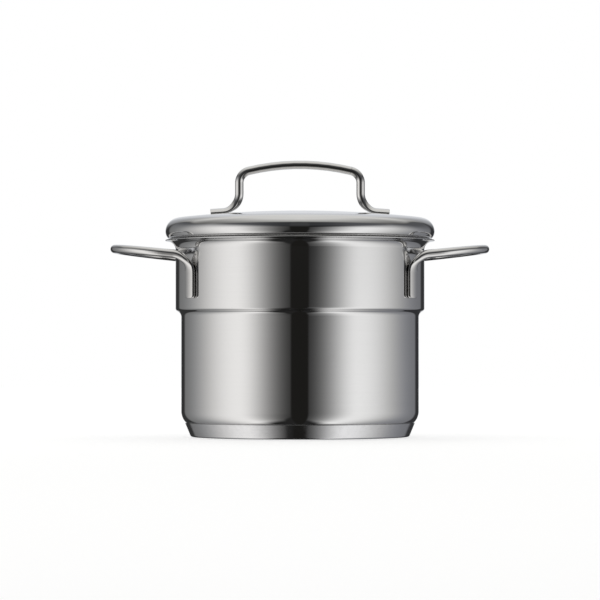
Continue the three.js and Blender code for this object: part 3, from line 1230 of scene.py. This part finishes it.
@dataclass(frozen=True)
class Base:
    """A steel cap with a sloping side that closes in an aluminium disc under the vessel."""

    vessel: Vessel
    sheet: float = 0.5
    rise: float = 2.6
    slope: float = math.radians(22.5)
    edge_radius: float = 0.9
    gap: float = 0.1
    lip_radius: float = 0.1
    inner_bevel: float = 0.03
    polished_margin: float = 0.6
    edge_wear: float = 0.6

    def inside_at(self, height: float) -> float:
        """Reads the inside of the cap's sloping side.

        Args:
            height: Height above the table.

        Returns:
            The side's radius there.
        """
        top = self.vessel.underside + self.rise
        outer = self.vessel.corner_radius_at(top) + self.gap
        return outer - (top - height) * math.tan(self.slope)

    def skin(self, depth: float) -> list[ProfilePoint]:
        """The cap's skin without its top edge.

        Args:
            depth: How far in from the outside.

        Returns:
            The points from the axis to the foot of the sloping side.
        """
        outer = self.edge_radius + self.sheet
        edge = (self.inside_at(outer) - self.edge_radius / math.cos(self.slope), outer)
        return [
            ProfilePoint(0.0, depth, 0.0, -1.0, satin=1.0),
            ProfilePoint(edge[0] - self.polished_margin, depth, 0.0, -1.0, satin=1.0),
            *arc(edge, outer - depth, -QUARTER, -self.slope, edge=self.edge_wear),
        ]

    def top_edge(self) -> list[ProfilePoint]:
        """The rounded top of the sloping side and the ledge behind it.

        Returns:
            The points from the outside to the inside.
        """
        across, up = math.cos(self.slope), math.sin(self.slope)
        top = self.vessel.underside + self.rise
        bevel_foot = top - self.inner_bevel
        round_height = top - self.lip_radius
        round_radius = self.inside_at(round_height) + (self.sheet - self.lip_radius) / across
        return [
            *arc((round_radius, round_height), self.lip_radius, -self.slope, QUARTER, edge=1.0),
            ProfilePoint(self.inside_at(top) + self.inner_bevel, top, 0.0, 1.0, 1.0),
            ProfilePoint(self.inside_at(bevel_foot), bevel_foot, -across, up),
        ]

    def build(self) -> bpy.types.Object:
        """Builds the cap."""
        inner = turned_over(self.skin(self.sheet), 0.0)
        return turned("base_cap", [*self.skin(0.0), *self.top_edge(), *inner])

    def dress(self, dresser: Dresser) -> None:
        """Builds the cap and gives it and the disc inside it their finishes."""
        dresser.dress(self.build(), "base_capsule", Body.POT, Slot.CAP)
        dresser.dress_node("base_heat_spreader", Slot.CORE)


@dataclass(frozen=True)
class SideHandle:
    """A sloping loop of round bar on two upright legs that are pressed flat."""

    vessel: Vessel
    side: Side
    bar: PressedBar = PressedBar(4.75)
    leg_bearing: float = math.radians(30.8)
    leg_above_step: float = 5.15
    leg_flank: float = 2.15
    leg_crown: float = 0.5
    leg_crown_lean: float = 0.2
    leg_bend_radius: float = 10.5
    leg_end_radius: float = 2.0
    leg_bevel: float = 0.35
    weld_gap: float = 0.3
    reach: float = 36.9
    drop: float = 5.25
    rise: float = math.radians(6)
    taper: float = math.radians(11)
    corner_radius: float = 34.0

    def corners(self) -> list[Corner]:
        """Places the bar's middle line.

        Returns:
            Its corners, from the foot of one leg to that of the other.
        """
        thickness = self.leg_flank + self.leg_crown
        seat = self.vessel.upper_radius + self.weld_gap + thickness / 2
        leg_x = seat * math.cos(self.leg_bearing)
        leg_y = seat * math.sin(self.leg_bearing)
        leg_z = self.vessel.step_top + self.leg_above_step
        end_x = self.vessel.upper_radius + self.reach - self.bar.diameter / 2
        end_z = self.vessel.height - self.drop
        end_y = leg_y - (end_x - leg_x) * math.tan(self.taper)
        bend_z = end_z - (end_x - leg_x) * math.tan(self.rise)
        half = [
            Corner(Vector((leg_x, -leg_y, leg_z))),
            Corner(Vector((leg_x, -leg_y, bend_z)), self.leg_bend_radius),
            Corner(Vector((end_x, -end_y, end_z)), self.corner_radius),
        ]
        flip = Vector((1, -1, 1))
        whole = half + [Corner(c.at * flip, c.radius) for c in reversed(half)]
        half_turn = Vector((self.side.value, self.side.value, 1))
        return [Corner(c.at * half_turn, c.radius) for c in whole]

    def facing(self, point: PathPoint, pressed: float) -> Vector:
        """Turns the crown out of the wall at the legs, and down on the loop.

        Args:
            point: Where on the bar.
            pressed: How far the bar is pressed there.

        Returns:
            The way that the crown looks.
        """
        bearing = math.copysign(self.leg_bearing, point.at.y)
        outwards = Vector((self.side.value * math.cos(bearing), math.sin(bearing), 0.0))
        return outwards.lerp(Vector((0, 0, -1)), 1 - pressed)

    def build(self) -> bpy.types.Object:
        """Bends and presses the handle's bar.

        Returns:
            The new piece.
        """
        path, straight = bent_path(self.corners())
        end = BarEnd(
            flank=self.leg_flank,
            crown=self.leg_crown,
            lean=self.leg_crown_lean,
            flat_length=straight,
            ease_length=self.leg_bend_radius,
            corner_radius=self.leg_end_radius,
            bevel=self.leg_bevel,
        )
        fine = with_fine_ends(path, (self.leg_end_radius, self.leg_bevel))
        return self.bar.build(f"{self.side.name.lower()}_side_handle", fine, end, self.facing)

    def dress(self, dresser: Dresser) -> None:
        """Builds the handle and gives it and its welds their finishes.

        Args:
            dresser: Gives the finishes.
        """
        side = self.side.name.lower()
        dresser.dress(self.build(), f"{side}_handle", Body.POT, Slot.BAR)
        for place in ("front", "rear"):
            dresser.dress_node(f"{side}_handle_{place}_weld", Slot.WELD)


# The lid


class LidPlaces(NamedTuple):
    """Places of the arcs that make up the lid's sheet."""

    curl: Place
    shoulder: Place
    dome_tilt: float
    dome_centre: float
    skirt_radius: float
    skirt_bend: Place
    bend_tilt: float
    skirt_end: float


@dataclass(frozen=True)
class Lid:
    """One spun sheet with a domed top, a rounded edge and a plug-in skirt."""

    vessel: Vessel
    sheet: float = 0.7
    setback: float = 0.05
    dome_radius: float = 620.0
    shoulder_radius: float = 7.65
    curl_radius: float = 5.6
    skirt_bend_radius: float = 2.0
    skirt_length: float = 5.0
    skirt_clearance: float = 0.8
    seat_gap: float = 0.3

    def places(self) -> LidPlaces:
        """Works out where the lid's arcs lie: it hangs by its curl on the pouring rim.

        Returns:
            The places of the arcs.
        """
        lid_radius = self.vessel.rim_radius - self.setback
        rim_bend, _ = self.vessel.rim_centres()
        curl_radius = lid_radius - self.curl_radius
        apart = self.curl_radius + self.vessel.rim_bend_radius + self.vessel.sheet + self.seat_gap
        edge = rim_bend[1] + math.sqrt(apart ** 2 - (rim_bend[0] - curl_radius) ** 2)
        shoulder = (lid_radius - self.shoulder_radius, edge)
        dome_reach = self.dome_radius - self.shoulder_radius
        dome_tilt = math.asin(shoulder[0] / dome_reach)
        skirt_radius = self.vessel.mouth_radius - self.skirt_clearance
        bend_radius = skirt_radius + self.skirt_bend_radius
        bend_apart = self.curl_radius + self.skirt_bend_radius
        bend_tilt = math.asin((bend_radius - curl_radius) / bend_apart)
        bend_height = edge - bend_apart * math.cos(bend_tilt)
        return LidPlaces(
            curl=(curl_radius, edge),
            shoulder=shoulder,
            dome_tilt=dome_tilt,
            dome_centre=edge - dome_reach * math.cos(dome_tilt),
            skirt_radius=skirt_radius,
            skirt_bend=(bend_radius, bend_height),
            bend_tilt=bend_tilt,
            skirt_end=bend_height - self.skirt_length,
        )

    def dome(self, places: LidPlaces, depth: float) -> list[ProfilePoint]:
        """The domed top.

        Args:
            places: Places of the lid's arcs.
            depth: How far in from the outside.

        Returns:
            The points from the axis to the shoulder.
        """
        points = []
        for ring in range(DOME_RINGS):
            tilt = places.dome_tilt * ring / DOME_RINGS
            across, up = math.sin(tilt), math.cos(tilt)
            size = self.dome_radius - depth
            points.append(ProfilePoint(size * across, places.dome_centre + size * up, across, up))
        return points

    def skin(self, depth: float) -> list[ProfilePoint]:
        """The lid's skin.

        Args:
            depth: How far in from the outside.

        Returns:
            The points from the axis to the skirt's end.
        """
        places = self.places()
        return [
            *self.dome(places, depth),
            *arc(places.shoulder, self.shoulder_radius - depth, QUARTER - places.dome_tilt, 0.0),
            *arc(places.curl, self.curl_radius - depth, 0.0, places.bend_tilt - QUARTER)[1:],
            *arc(
                places.skirt_bend, self.skirt_bend_radius + depth,
                QUARTER + places.bend_tilt, HALF, hollow=True,
            )[1:],
        ]

    def build(self) -> bpy.types.Object:
        """Builds the lid's sheet.

        Returns:
            The new piece.
        """
        places = self.places()
        round_end = self.sheet / 2
        end_centre = (places.skirt_radius - round_end, places.skirt_end + round_end)
        skirt_edge = arc(end_centre, round_end, HALF, 2 * HALF, edge=1.0)
        under = turned_over(reversed(self.skin(self.sheet)), 1.0)
        return turned("lid_sheet", [*under, *skirt_edge, *reversed(self.skin(0.0))])

    def dress(self, dresser: Dresser) -> None:
        """Builds the lid and gives it its finish."""
        dresser.dress(self.build(), "lid_shell", Body.LID, Slot.POLISHED)


@dataclass(frozen=True)
class LidHandle:
    """A bowed bar on two upright legs with pressed feet that turn outwards."""

    lid: Lid
    bar: PressedBar = PressedBar(4.8)
    span: float = 69.0
    height: float = 28.9
    bow: float = math.radians(13.5)
    bend_radius: float = 7.0
    foot_bend_radius: float = 9.8
    foot_length: float = 16.4
    foot_flank: float = 1.0
    foot_crown: float = 2.1
    foot_bevel: float = 0.3
    weld_gap: float = 0.3

    def corners(self) -> list[Corner]:
        """Places the bar's middle line.

        Returns:
            Its corners, from the end of the left foot to that of the right one.
        """
        dome_centre = self.lid.places().dome_centre
        dome_radius = self.lid.dome_radius
        leg = self.span / 2
        foot = leg + self.foot_length
        bar_top = dome_centre + dome_radius + self.height - self.bar.diameter / 2
        corner_reach = self.bend_radius * math.tan((QUARTER - self.bow) / 2)
        bow_radius = (leg / math.cos(self.bow) - corner_reach) / math.tan(self.bow)
        peak = bar_top + bow_radius * (1 / math.cos(self.bow) - 1)
        corner = peak - leg * math.tan(self.bow)
        tilt = math.asin((leg + foot) / 2 / dome_radius)
        seat = dome_radius + self.weld_gap + (self.foot_flank + self.foot_crown) / 2

        def foot_at(x: float) -> float:
            """Height of the foot's middle line."""
            return dome_centre + (seat - x * math.sin(tilt)) / math.cos(tilt)

        half = [
            Corner(Vector((foot, 0.0, foot_at(foot)))),
            Corner(Vector((leg, 0.0, foot_at(leg))), self.foot_bend_radius),
            Corner(Vector((leg, 0.0, corner)), self.bend_radius),
        ]
        other = [Corner(c.at * Vector((-1, 1, 1)), c.radius) for c in half]
        return [*other, Corner(Vector((0.0, 0.0, peak)), bow_radius), *reversed(half)]

    @staticmethod
    def facing(point: PathPoint, pressed: float) -> Vector:
        """Turns the crown up at the feet, however far the bar is pressed."""
        return Vector((-point.heading.z, 0.0, point.heading.x))

    def build(self) -> bpy.types.Object:
        """Bends and presses the handle's bar.

        Returns:
            The new piece.
        """
        path, straight = bent_path(self.corners())
        end = BarEnd(
            flank=self.foot_flank,
            crown=self.foot_crown,
            lean=0.0,
            flat_length=straight,
            ease_length=self.foot_bend_radius,
            corner_radius=0.0,
            bevel=self.foot_bevel,
        )
        fine = with_fine_ends(path, (self.foot_bevel,))
        return self.bar.build("lid_grip", fine, end, self.facing)

    def dress(self, dresser: Dresser) -> None:
        """Builds the handle and gives it and its welds their finishes.

        Args:
            dresser: Gives the finishes.
        """
        dresser.dress(self.build(), "lid_handle", Body.LID, Slot.BAR)
        for side in ("left", "right"):
            dresser.dress_node(f"lid_handle_{side}_weld", Slot.WELD)


# The studio


@dataclass(frozen=True)
class SideGlow:
    """A soft light on one side of the pot, by bearing and rise in degrees seen from the pot.

    It falls off to both sides of its bearing, leans by its tilt, and fades out over its top and
    below its low rises. The shifts of the top and the low rises are broken lines over bearings.
    """

    bearing: float
    near_spread: float
    far_spread: float
    strength: float
    remainder: float
    tilt: float
    top: Pair
    slit: float
    low_rises: tuple[float, ...]
    low_bearings: tuple[float, ...] = (9.0, 20.0, 40.0, 70.0)
    low_fade: float = 17.5
    low_level: float = 0.021
    tilt_rises: Pair = (-60.0, 0.0)
    top_bearings: tuple[float, ...] = (14.0, 86.0, 118.0)
    top_shifts: tuple[float, ...] = (-13.0, 9.0, -1.0)
    near_tint: Colour = (1.0, 1.0, 0.995)
    far_tint: Colour = (0.98, 1.0, 1.07)
    tint_bearings: Pair = (95.0, 130.0)

    def level(self, bearing: float, rise: float) -> float:
        """How bright the light is in one direction.

        Args:
            bearing: Degrees from the viewer, on the light's own side.
            rise: Degrees above the horizon.

        Returns:
            The light's level.
        """
        lowest, highest = self.tilt_rises
        offset = bearing - self.bearing - self.tilt * min(highest, max(lowest, rise))
        if offset < 0:
            level = self.strength * bell(offset, self.near_spread)
        else:
            level = mix(self.remainder, self.strength, bell(offset, self.far_spread))
        top_start, top_end = self.top
        top_end += between(bearing, self.top_bearings, self.top_shifts)
        level *= 1 - smooth(rise, top_start, top_end)
        low = between(bearing, self.low_bearings, self.low_rises)
        lit = smooth(rise, low - self.low_fade / 2, low + self.low_fade / 2)
        return mix(self.low_level, level, lit)

    def tint(self, bearing: float) -> Colour:
        """The light's tint, which turns cooler far from the viewer."""
        return blend(self.near_tint, self.far_tint, smooth(bearing, *self.tint_bearings))


@dataclass(frozen=True)
class LightTent:
    """A round tent of cloth that lights the pot softly, with a dark slit for the viewer.

    Its radius and centre are in metres, its bearings in degrees from the viewer and its rises in
    degrees above the horizon. The roof grows brighter from its starts to its ends and stops softly
    at its edges, each a broken line over the roof's bearings.
    """

    turn: float
    right: SideGlow = SideGlow(
        bearing=56.9,
        near_spread=20.0,
        far_spread=31.8,
        strength=1.025,
        remainder=0.193,
        tilt=0.047,
        top=(-2.4, 20.7),
        slit=7.85,
        low_rises=(-51.0, -61.5, -69.5, -76.5),
    )
    left: SideGlow = SideGlow(
        bearing=60.6,
        near_spread=21.1,
        far_spread=33.3,
        strength=1.036,
        remainder=0.169,
        tilt=-0.079,
        top=(-0.7, 28.8),
        slit=8.6,
        low_rises=(-27.5, -53.5, -60.0, -68.0),
        near_tint=(1.01, 1.0, 0.985),
        far_tint=(0.99, 1.0, 1.005),
    )
    radius: float = 2.5
    centre: float = 0.08
    slit_edge: float = 2.0
    slit_seams: tuple[float, ...] = (-0.5, -0.25, 0.0, 0.25, 0.5)
    slit_colour: Colour = (0.0142, 0.0137, 0.0125)
    back_from: Pair = (145.0, 151.5)
    back_level: float = 0.036
    gap_levels: Pair = (0.046, 0.105)
    gap_bearings: Pair = (10.0, 55.0)
    gap_ends: Pair = (140.0, 150.0)
    gap_rises: Pair = (0.0, 20.0)
    gap_tint: Colour = (0.97, 1.0, 1.07)
    roof_level: float = 0.785
    roof_tint: Colour = (1.005, 1.0, 0.97)
    roof_back_tint: Colour = (0.884, 0.905, 0.942)
    roof_tint_bearings: Pair = (130.0, 155.0)
    roof_tint_rises: Pair = (40.0, 68.0)
    roof_bearings: tuple[float, ...] = (0, 14, 27, 40, 60, 100, 125, 134, 145, 155, 165, 176)
    roof_edges: tuple[float, ...] = (43.5, 42, 41, 39, 33, 20, 31.5, 29, 19.5, 9.5, 6, -20)
    roof_starts: tuple[float, ...] = (20, 20, 20, 20, 20, 20, 13, -5, 0, -6, -3, -40)
    roof_ends: tuple[float, ...] = (71, 71, 71, 71, 71, 71, 45, 60, 58, 44, 24, 0)
    roof_fade: float = 11.0
    step: float = 1.5

    def walls(self, bearing: float, rise: float) -> Colour:
        """The light of the tent's sides, its dark slit and its back.

        Args:
            bearing: Degrees from the viewer, positive to the right.
            rise: Degrees above the horizon.

        Returns:
            The light's colour.
        """
        away = abs(bearing)
        side = self.right if bearing > 0 else self.left
        level = mix(side.level(away, rise), self.back_level, smooth(away, *self.back_from))
        lit = tuple(level * share for share in side.tint(away))
        half = self.slit_edge / 2
        return blend(self.slit_colour, lit, smooth(away, side.slit - half, side.slit + half))

    def roof(self, bearing: float, rise: float) -> Colour:
        """The light of the tent's roof and of the dim gap below it.

        Args:
            bearing: Degrees from the viewer, positive to the right.
            rise: Degrees above the horizon.

        Returns:
            The light's colour.
        """
        away = abs(bearing)
        gap = mix(*self.gap_levels, smooth(away, *self.gap_bearings))
        gap *= smooth(rise, *self.gap_rises) * (1 - smooth(away, *self.gap_ends))
        start, end, edge = (
            between(away, self.roof_bearings, line)
            for line in (self.roof_starts, self.roof_ends, self.roof_edges)
        )
        lit = self.roof_level * min(1.0, max(0.0, (rise - start) / (end - start)))
        lit *= smooth(rise, edge - self.roof_fade / 2, edge + self.roof_fade / 2)
        back = smooth(away, *self.roof_tint_bearings) * (1 - smooth(rise, *self.roof_tint_rises))
        roof_tint = blend(self.roof_tint, self.roof_back_tint, back)
        return tuple(max(gap * g, lit * r) for g, r in zip(self.gap_tint, roof_tint))

    def bearings(self) -> list[float]:
        """Places the tent's seams, close together at the slit.

        Returns:
            Their bearings, in order.
        """
        count = round(360 / self.step)
        even = {round(-180 + 360 * index / count, 3) for index in range(count)}
        slit = {
            round(sign * (side.slit + self.slit_edge * share), 3)
            for sign, side in ((1, self.right), (-1, self.left)) for share in self.slit_seams
        }
        return sorted(even | slit)

    def rises(self) -> list[float]:
        """Rises of the tent's rings, from straight down to straight up."""
        count = round(180 / self.step)
        return [-90 + 180 * index / count for index in range(count + 1)]

    def build(self) -> None:
        """Builds the tent's round cloth, which shows in reflections and not to the camera."""
        bearings, rises = self.bearings(), self.rises()
        places: list[Triple] = []
        colours: list[float] = []
        for rise in rises:
            radius = max(self.radius * math.cos(math.radians(rise)), MM)
            height = self.centre + self.radius * math.sin(math.radians(rise))
            for bearing in bearings:
                turn = math.radians(bearing) - self.turn
                places.append((radius * math.sin(turn), -radius * math.cos(turn), height))
                both = zip(self.walls(bearing, rise), self.roof(bearing, rise))
                colours.extend((*(low + high for low, high in both), 1.0))
        count = len(bearings)
        faces = [
            (lower + index, lower + (index + 1) % count,
             lower + count + (index + 1) % count, lower + count + index)
            for lower in range(0, len(places) - count, count) for index in range(count)
        ]
        mesh = bpy.data.meshes.new("tent_cloth")
        mesh.from_pydata(places, [], faces)
        mesh.color_attributes.new("glow", "FLOAT_COLOR", "POINT").data.foreach_set("color", colours)
        mesh.materials.append(self.cloth())
        made = linked("tent_cloth", mesh)
        made.visible_camera = False
        made.visible_shadow = False

    @staticmethod
    def cloth() -> bpy.types.Material:
        """Makes the lit cloth, whose light is kept on its points.

        Returns:
            The new material.
        """
        made = bpy.data.materials.new("tent_cloth")
        made.use_nodes = True
        sketch = NodeSketch(made.node_tree)
        made.node_tree.nodes.clear()
        light = sketch.add("ShaderNodeEmission")
        stored = sketch.add("ShaderNodeAttribute", attribute_name="glow")
        sketch.feed(light.inputs["Color"], stored.outputs["Color"])
        leave = sketch.add("ShaderNodeOutputMaterial")
        sketch.feed(leave.inputs["Surface"], light.outputs[0])
        return made


@dataclass(frozen=True)
class Studio:
    """Floor, background and camera of the picture, in metres."""

    floor_radius: float = 2.4
    floor_height: float = -0.0004
    floor_colour: float = 0.8
    floor_glow: Pair = (0.63, 0.695)
    floor_reach: Pair = (0.3, 1.3)
    ambient: float = 0.6
    turn: float = math.radians(1.1)
    camera_distance: float = 1.9
    camera_height: float = 0.05
    view_width: float = 0.3411
    view_lift: float = 0.0812
    sensor: float = 36.0

    def build_floor(self) -> None:
        """Builds a plain pale floor that keeps the pot's soft shadow."""
        mesh = bpy.data.meshes.new("floor")
        mesh.from_pydata(
            [(self.floor_radius * math.cos(b), self.floor_radius * math.sin(b), self.floor_height)
             for b in full_turn()],
            [], [tuple(range(TURN_SEGMENTS))],
        )
        mesh.materials.append(self.floor_finish())
        floor = linked("floor", mesh)
        floor.visible_glossy = False

    def floor_finish(self) -> bpy.types.Material:
        """Makes the floor's pale finish, which is clear from below.

        Returns:
            The new material.
        """
        made = bpy.data.materials.new("pale_floor")
        made.use_nodes = True
        made.node_tree.nodes.clear()
        sketch = NodeSketch(made.node_tree)
        diffuse = sketch.add("ShaderNodeBsdfDiffuse")
        diffuse.inputs["Color"].default_value = (*(self.floor_colour,) * 3, 1.0)
        glow = sketch.add("ShaderNodeEmission")
        seen = self.seen_rays(sketch)
        geometry = sketch.add("ShaderNodeNewGeometry")
        distance = sketch.add("ShaderNodeVectorMath", operation="LENGTH")
        sketch.feed(distance.inputs[0], geometry.outputs["Position"])
        far = sketch.spread(distance.outputs["Value"], *self.floor_reach)
        near_glow, far_glow = self.floor_glow
        strength = sketch.sum_up("MULTIPLY_ADD", far, far_glow - near_glow, near_glow)
        sketch.feed(glow.inputs["Strength"], sketch.sum_up("MULTIPLY", seen, strength))
        both = sketch.add("ShaderNodeAddShader")
        sketch.feed(both.inputs[0], diffuse.outputs[0])
        sketch.feed(both.inputs[1], glow.outputs[0])
        clear = sketch.add("ShaderNodeBsdfTransparent")
        choice = sketch.add("ShaderNodeMixShader")
        sketch.feed(choice.inputs[0], geometry.outputs["Backfacing"])
        sketch.feed(choice.inputs[1], both.outputs[0])
        sketch.feed(choice.inputs[2], clear.outputs[0])
        leave = sketch.add("ShaderNodeOutputMaterial")
        sketch.feed(leave.inputs["Surface"], choice.outputs[0])
        return made

    @staticmethod
    def seen_rays(sketch: NodeSketch) -> Socket:
        """1 for rays from the camera and for those that metal or glass pass on.

        Args:
            sketch: Nodes of the floor or the world.

        Returns:
            The share.
        """
        path = sketch.add("ShaderNodeLightPath")
        passed = sketch.sum_up(
            "MAXIMUM", path.outputs["Is Glossy Ray"], path.outputs["Is Transmission Ray"]
        )
        return sketch.sum_up("MAXIMUM", path.outputs["Is Camera Ray"], passed)

    def build_world(self) -> None:
        """Makes the white background and a little even light."""
        world = bpy.data.worlds.new("white_studio")
        bpy.context.scene.world = world
        world.use_nodes = True
        sketch = NodeSketch(world.node_tree)
        background = world.node_tree.nodes["Background"]
        background.inputs["Color"].default_value = (1.0, 1.0, 1.0, 1.0)
        strength = sketch.sum_up(
            "MULTIPLY_ADD", self.seen_rays(sketch), 1.0 - self.ambient, self.ambient
        )
        sketch.feed(background.inputs["Strength"], strength)

    def build_camera(self) -> None:
        """Sets up a level camera, whose view is lifted so that upright lines stay upright."""
        data = bpy.data.cameras.new("camera")
        data.sensor_width = self.sensor
        data.lens = self.sensor * self.camera_distance / self.view_width
        data.shift_y = self.view_lift
        camera = bpy.data.objects.new("camera", data)
        bpy.context.scene.collection.objects.link(camera)
        camera.location = (
            -self.camera_distance * math.sin(self.turn),
            -self.camera_distance * math.cos(self.turn),
            self.camera_height,
        )
        camera.rotation_euler = (QUARTER, 0.0, -self.turn)
        bpy.context.scene.camera = camera

    def build(self) -> None:
        """Builds everything round the pot."""
        bpy.context.scene.view_settings.view_transform = "Standard"
        self.build_camera()
        self.build_world()
        self.build_floor()
        LightTent(self.turn).build()


def main() -> None:
    """Builds the studio and the pot's sub-assemblies in order."""
    logging.basicConfig(level=logging.INFO, format="%(name)s: %(message)s")
    Studio().build()
    dresser = Dresser()
    vessel = Vessel()
    lid = Lid(vessel)
    for assembly in (
        vessel,
        Base(vessel),
        SideHandle(vessel, Side.RIGHT),
        SideHandle(vessel, Side.LEFT),
        lid,
        LidHandle(lid),
    ):
        assembly.dress(dresser)


if __name__ == "__main__":
    main()
